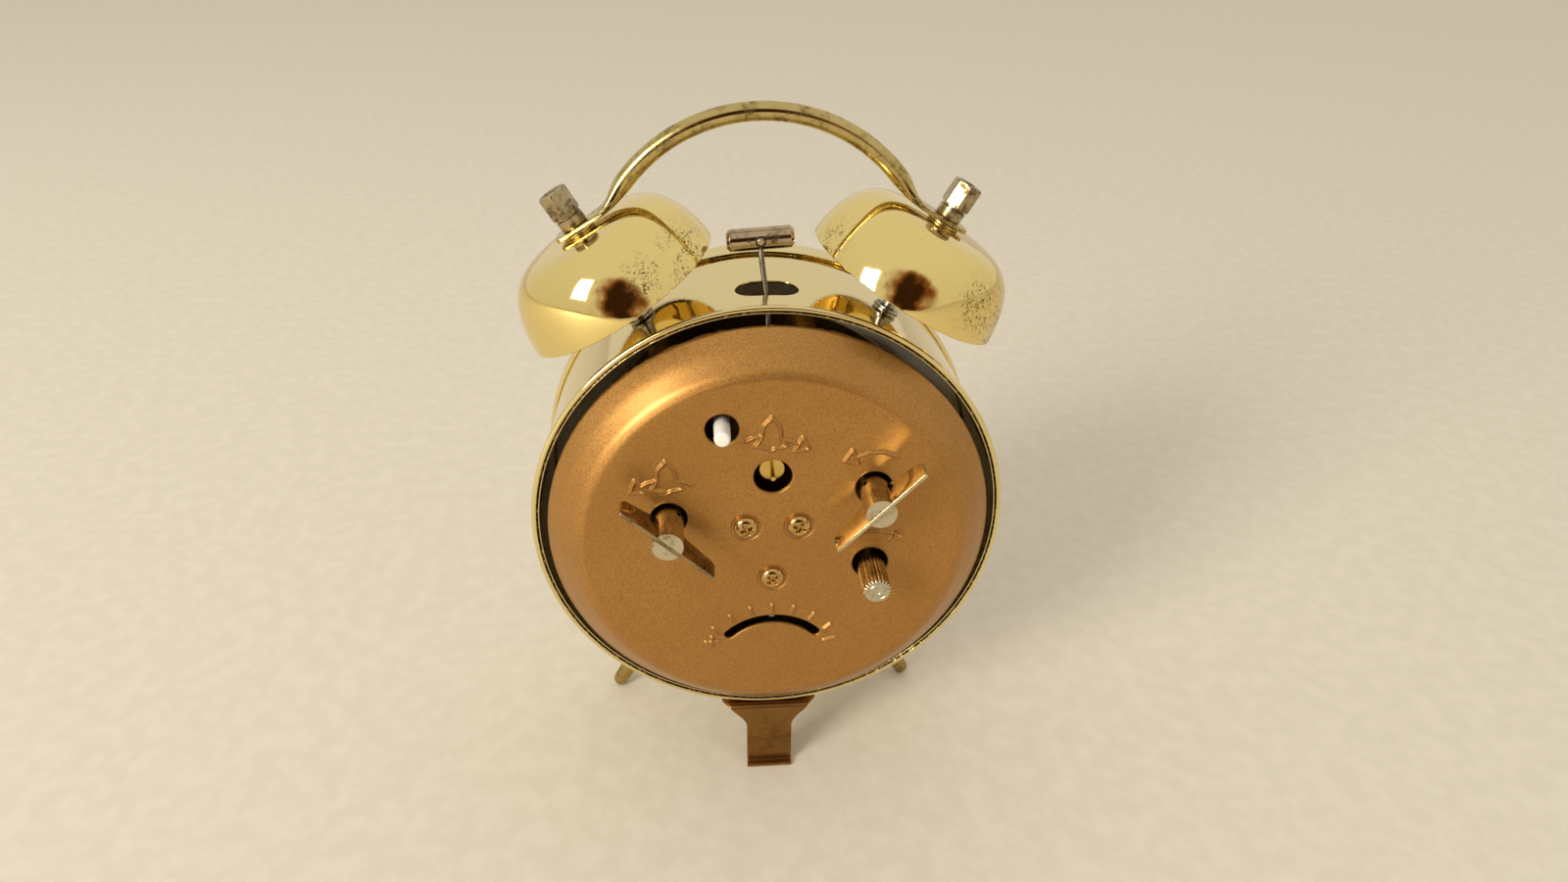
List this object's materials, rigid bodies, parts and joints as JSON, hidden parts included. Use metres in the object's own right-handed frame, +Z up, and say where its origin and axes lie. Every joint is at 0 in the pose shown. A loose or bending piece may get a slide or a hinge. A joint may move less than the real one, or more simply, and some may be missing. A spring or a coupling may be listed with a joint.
{
  "type": "twin bell alarm clock",
  "caption": "Wind-up alarm clock: round drum case on splayed feet with a rear stay, bells and hammer under an arched handle, winding keys and setting shafts at the back, full movement inside.",
  "frame": {"origin": "on the table, under the middle of the clock's overall box", "axes": "+Z up; the dial faces -Y; the rear cover with its keys faces +Y; +X is to the right seen from the dial side"},
  "size_m": [0.106, 0.0628, 0.1622],
  "materials": {
    "lacquered_brass": "polished, clear lacquer with light tarnish spots",
    "glass": "polished",
    "silvered_ring": "satin",
    "dial_paint": "matt",
    "cover_paint": "satin bronze-gold with fine metal flake",
    "tinted_nickel": "semi-gloss",
    "bronzed_steel": "satin, brown bronze finish",
    "brass_foot": "semi-gloss",
    "zinc_steel": "satin",
    "aged_nickel": "satin, aged",
    "copper_nickel": "semi-gloss",
    "plain_steel": "satin",
    "plate_brass": "satin",
    "wheel_brass": "satin",
    "spring_steel": "polished, blued",
    "key_nickel": "semi-gloss, worn",
    "black_paint": "gloss",
    "white_plastic": "gloss"
  },
  "bodies": {
    "case": {"case_drum": "lacquered_brass", "front_bezel": "lacquered_brass", "dial_glass": "glass", "reflector_ring": "silvered_ring", "dial": "dial_paint", "dial_pins": "plate_brass", "rear_cover": "cover_paint", "cover_screws": "tinted_nickel", "cover_posts": "plate_brass", "rear_foot": "bronzed_steel", "foot_rivets": "brass_foot", "left_front_foot": "brass_foot", "right_front_foot": "brass_foot", "foot_nuts": "zinc_steel", "left_bell": "lacquered_brass", "right_bell": "lacquered_brass", "bell_posts": "zinc_steel", "post_washers": "zinc_steel", "post_nuts": "zinc_steel", "bell_spacers": "tinted_nickel", "bell_nuts": "aged_nickel", "handle": "lacquered_brass", "front_plate": "plate_brass", "rear_plate": "plate_brass", "plate_pillars": "plate_brass", "pillar_nuts": "zinc_steel", "spring_posts": "plate_brass", "time_mainspring": "spring_steel", "alarm_mainspring": "spring_steel", "hairspring": "spring_steel"},
    "time_winder": {"time_winding_shaft": "key_nickel", "time_key": "key_nickel"},
    "alarm_winder": {"alarm_winding_shaft": "key_nickel", "alarm_key": "key_nickel"},
    "time_setter": {"set_shaft": "plain_steel", "set_knob": "key_nickel"},
    "minute_tube": {"cannon_pinion": "wheel_brass", "minute_hand": "black_paint"},
    "minute_works": {"minute_wheel": "wheel_brass"},
    "hour_tube": {"hour_wheel": "wheel_brass", "hour_hand": "black_paint"},
    "alarm_tube": {"alarm_wheel": "wheel_brass", "alarm_hand": "black_paint"},
    "alarm_setter": {"alarm_set_shaft": "wheel_brass"},
    "alarm_stop": {"alarm_stop_pin": "white_plastic"},
    "hammer": {"hammer_head": "copper_nickel", "hammer_wire": "plain_steel", "hammer_arbor": "plain_steel"},
    "great_wheel": {"time_great_wheel": "wheel_brass"},
    "great_click": {"time_click": "plain_steel"},
    "centre_train": {"second_wheel": "wheel_brass"},
    "third_train": {"third_wheel": "wheel_brass"},
    "fourth_train": {"fourth_wheel": "wheel_brass"},
    "escape_train": {"escape_wheel": "wheel_brass"},
    "pallets": {"pallet_fork": "plain_steel"},
    "balance": {"balance_wheel": "wheel_brass"},
    "regulator": {"regulator_lever": "plain_steel"},
    "alarm_great": {"alarm_great_wheel": "wheel_brass"},
    "alarm_great_click": {"alarm_click": "plain_steel"},
    "alarm_escape": {"alarm_escape_wheel": "wheel_brass"}
  },
  "joints": [
    {"name": "time_key_turn", "type": "hinge", "parent": "case", "child": "time_winder", "pos_m": [-0.0216, 0.01065, 0.0873], "axis": [0, 1, 0], "continuous": true},
    {"name": "alarm_key_turn", "type": "hinge", "parent": "case", "child": "alarm_winder", "pos_m": [0.0222, 0.01065, 0.081], "axis": [0, 1, 0], "continuous": true},
    {"name": "set_knob_turn", "type": "hinge", "parent": "case", "child": "time_setter", "pos_m": [-0.0217, 0.01065, 0.0678], "axis": [0, 1, 0], "continuous": true},
    {"name": "minute_hand_turn", "type": "hinge", "parent": "case", "child": "minute_tube", "pos_m": [0, 0.01065, 0.0723], "axis": [0, 1, 0], "continuous": true},
    {"name": "minute_wheel_turn", "type": "hinge", "parent": "case", "child": "minute_works", "pos_m": [0, 0.01065, 0.0627], "axis": [0, 1, 0], "continuous": true},
    {"name": "hour_hand_turn", "type": "hinge", "parent": "case", "child": "hour_tube", "pos_m": [0, 0.01065, 0.0723], "axis": [0, 1, 0], "continuous": true},
    {"name": "alarm_set_turn", "type": "hinge", "parent": "case", "child": "alarm_setter", "pos_m": [0, 0.01065, 0.09075], "axis": [0, 1, 0], "continuous": true},
    {"name": "alarm_hand_turn", "type": "hinge", "parent": "case", "child": "alarm_tube", "pos_m": [0, 0.01065, 0.0723], "axis": [0, 1, 0], "continuous": true},
    {"name": "alarm_stop_slide", "type": "slide", "parent": "case", "child": "alarm_stop", "axis": [0, 1, 0], "range_m": [-0.003, 0]},
    {"name": "hammer_swing", "type": "hinge", "parent": "case", "child": "hammer", "pos_m": [-0.0009, 0.01065, 0.1023], "axis": [0, 1, 0], "range_deg": [-7.5, 4.5]},
    {"name": "fourth_wheel_turn", "type": "hinge", "parent": "case", "child": "fourth_train", "pos_m": [0.00194, 0.01065, 0.05809], "axis": [0, 1, 0], "continuous": true},
    {"name": "third_wheel_turn", "type": "hinge", "parent": "case", "child": "third_train", "pos_m": [-0.00885, 0.01065, 0.06312], "axis": [0, 1, 0], "continuous": true},
    {"name": "second_wheel_turn", "type": "hinge", "parent": "case", "child": "centre_train", "pos_m": [-0.0217, 0.01065, 0.0678], "axis": [0, 1, 0], "continuous": true},
    {"name": "great_wheel_turn", "type": "hinge", "parent": "case", "child": "great_wheel", "pos_m": [-0.0216, 0.01065, 0.0873], "axis": [0, 1, 0], "continuous": true},
    {"name": "escape_wheel_turn", "type": "hinge", "parent": "case", "child": "escape_train", "pos_m": [0.00997, 0.01065, 0.05087], "axis": [0, 1, 0], "continuous": true},
    {"name": "time_click_lift", "type": "hinge", "parent": "great_wheel", "child": "great_click", "pos_m": [-0.02454, 0.01065, 0.09538], "axis": [0, 1, 0], "range_deg": [-12, 0]},
    {"name": "pallet_rock", "type": "hinge", "parent": "case", "child": "pallets", "pos_m": [0.00551, 0.01065, 0.0456], "axis": [0, 1, 0], "range_deg": [-5, 5]},
    {"name": "balance_swing", "type": "hinge", "parent": "case", "child": "balance", "pos_m": [0, 0.01065, 0.0391], "axis": [0, 1, 0], "range_deg": [-150, 150], "stiffness_Nm_per_rad": 0.000015},
    {"name": "regulator_swing", "type": "hinge", "parent": "case", "child": "regulator", "pos_m": [0, 0.01065, 0.0391], "axis": [0, 1, 0], "range_deg": [-38, 38]},
    {"name": "alarm_great_turn", "type": "hinge", "parent": "case", "child": "alarm_great", "pos_m": [0.0222, 0.01065, 0.081], "axis": [0, 1, 0], "continuous": true},
    {"name": "alarm_escape_turn", "type": "hinge", "parent": "case", "child": "alarm_escape", "pos_m": [0.01216, 0.01065, 0.09534], "axis": [0, 1, 0], "continuous": true},
    {"name": "alarm_click_lift", "type": "hinge", "parent": "alarm_great", "child": "alarm_great_click", "pos_m": [0.01926, 0.01065, 0.08908], "axis": [0, 1, 0], "range_deg": [-12, 0]}
  ],
  "couplings": [
    {"joint": "minute_hand_turn", "follows": "set_knob_turn", "ratio": -2.3333},
    {"joint": "minute_wheel_turn", "follows": "set_knob_turn", "ratio": 0.77778},
    {"joint": "hour_hand_turn", "follows": "set_knob_turn", "ratio": -0.19444},
    {"joint": "alarm_hand_turn", "follows": "alarm_set_turn", "ratio": -0.23333},
    {"joint": "third_wheel_turn", "follows": "fourth_wheel_turn", "ratio": -0.13333},
    {"joint": "second_wheel_turn", "follows": "fourth_wheel_turn", "ratio": 0.016667},
    {"joint": "great_wheel_turn", "follows": "fourth_wheel_turn", "ratio": -0.002451},
    {"joint": "escape_wheel_turn", "follows": "fourth_wheel_turn", "ratio": -8},
    {"joint": "alarm_escape_turn", "follows": "alarm_great_turn", "ratio": -6}
  ]
}
